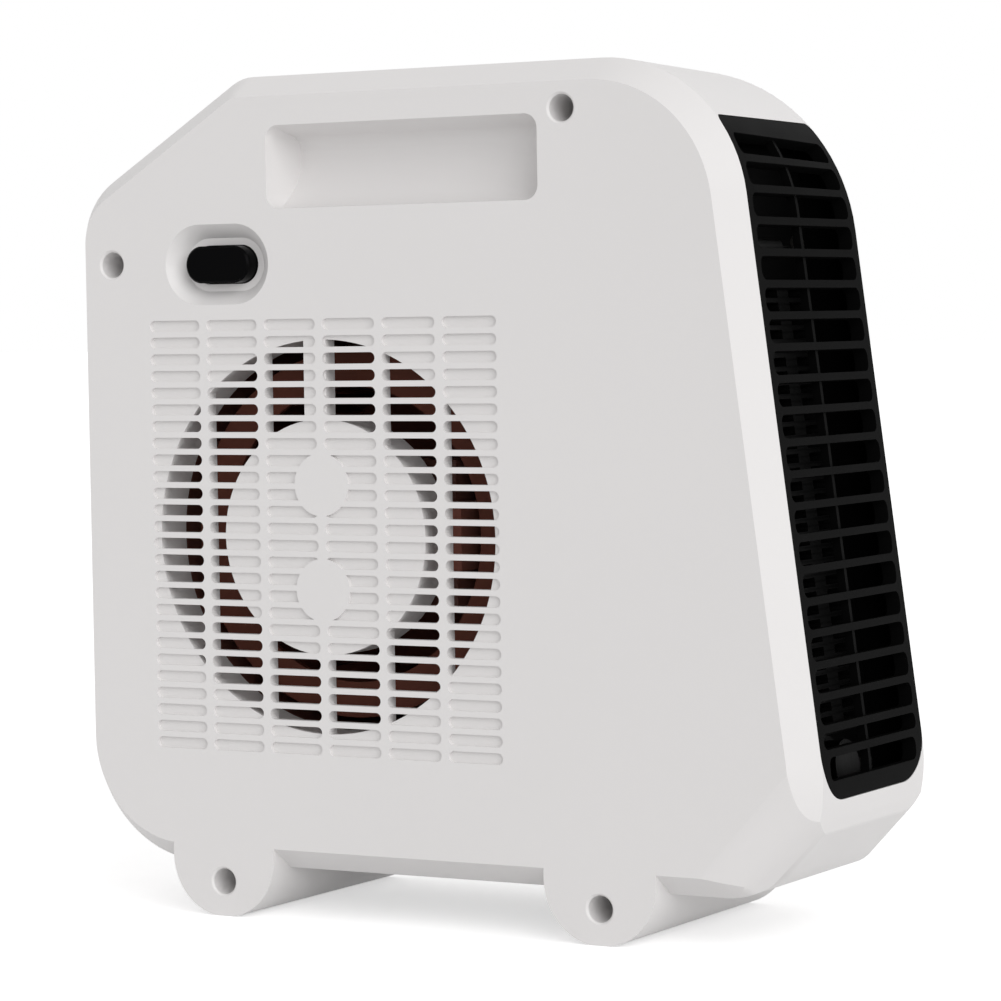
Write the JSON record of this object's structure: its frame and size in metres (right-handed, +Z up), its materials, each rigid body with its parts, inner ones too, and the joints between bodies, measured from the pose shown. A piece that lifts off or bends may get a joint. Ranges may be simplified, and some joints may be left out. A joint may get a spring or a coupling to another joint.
{
  "type": "personal space heater",
  "caption": "Free-standing desktop fan heater: upright bevelled casing with a slotted side inlet, leaning louvred outlet, carrying recess, push button and rounded feet.",
  "frame": {"origin": "middle of the box that holds the heater, at floor level", "axes": "+Z up; the large face with the inlet grid and the button looks along -X; the leaning outlet looks along -Y"},
  "size_m": [0.087, 0.246, 0.25],
  "materials": {
    "white_casing": "fine satin moulded plastic",
    "black_grille": "satin black moulded plastic",
    "black_button": "glossy black moulding",
    "dark_plastic": "heat-resistant moulding",
    "board_laminate": "glass-fibre laminate",
    "brown_wheel": "dark brown moulding",
    "grey_duct": "heat-resistant moulding",
    "shaft_steel": "ground steel",
    "core_steel": "stacked laminations",
    "plated_steel": "zinc-plated sheet",
    "coil_tape": "taped winding",
    "bearing_bronze": "sintered bronze",
    "screw_steel": "zinc-plated steel",
    "fin_aluminium": "dark oxide",
    "terminal_brass": "stamped tab",
    "thermostat_can": "drawn can",
    "fuse_can": "plated can",
    "gland_rubber": "moulded bush"
  },
  "bodies": {
    "casing": {"main_housing": "white_casing", "side_cover": "white_casing", "outlet_grille": "black_grille", "switch_body": "dark_plastic", "heater_frame": "dark_plastic", "terminal_block": "dark_plastic", "control_board": "board_laminate", "scroll_duct": "grey_duct", "motor_core": "core_steel", "front_bearing_bracket": "plated_steel", "rear_bearing_bracket": "plated_steel", "motor_coil": "coil_tape", "shaft_bushes": "bearing_bronze", "casing_screws": "screw_steel", "board_screws": "screw_steel", "duct_screws": "screw_steel", "motor_bolts": "screw_steel", "heater_screws": "screw_steel", "terminal_block_screw": "screw_steel", "ptc_fins": "fin_aluminium", "ptc_bars": "fin_aluminium", "heater_terminals": "terminal_brass", "thermostat": "thermostat_can", "thermal_fuse": "fuse_can", "cord_gland": "gland_rubber"},
    "button": {"power_button": "black_button", "switch_plunger": "dark_plastic"},
    "blower": {"blower_wheel": "brown_wheel", "wheel_nut": "shaft_steel", "motor_shaft": "shaft_steel", "motor_rotor": "shaft_steel"}
  },
  "joints": [
    {"name": "button_press", "type": "slide", "parent": "casing", "child": "button", "axis": [1, 0, 0], "range_m": [0, 0.002], "stiffness_N_per_m": 400, "springref_m": -0.002},
    {"name": "blower_spin", "type": "hinge", "parent": "casing", "child": "blower", "pos_m": [0, 0.0333, 0.114], "axis": [1, 0, 0], "continuous": true}
  ]
}
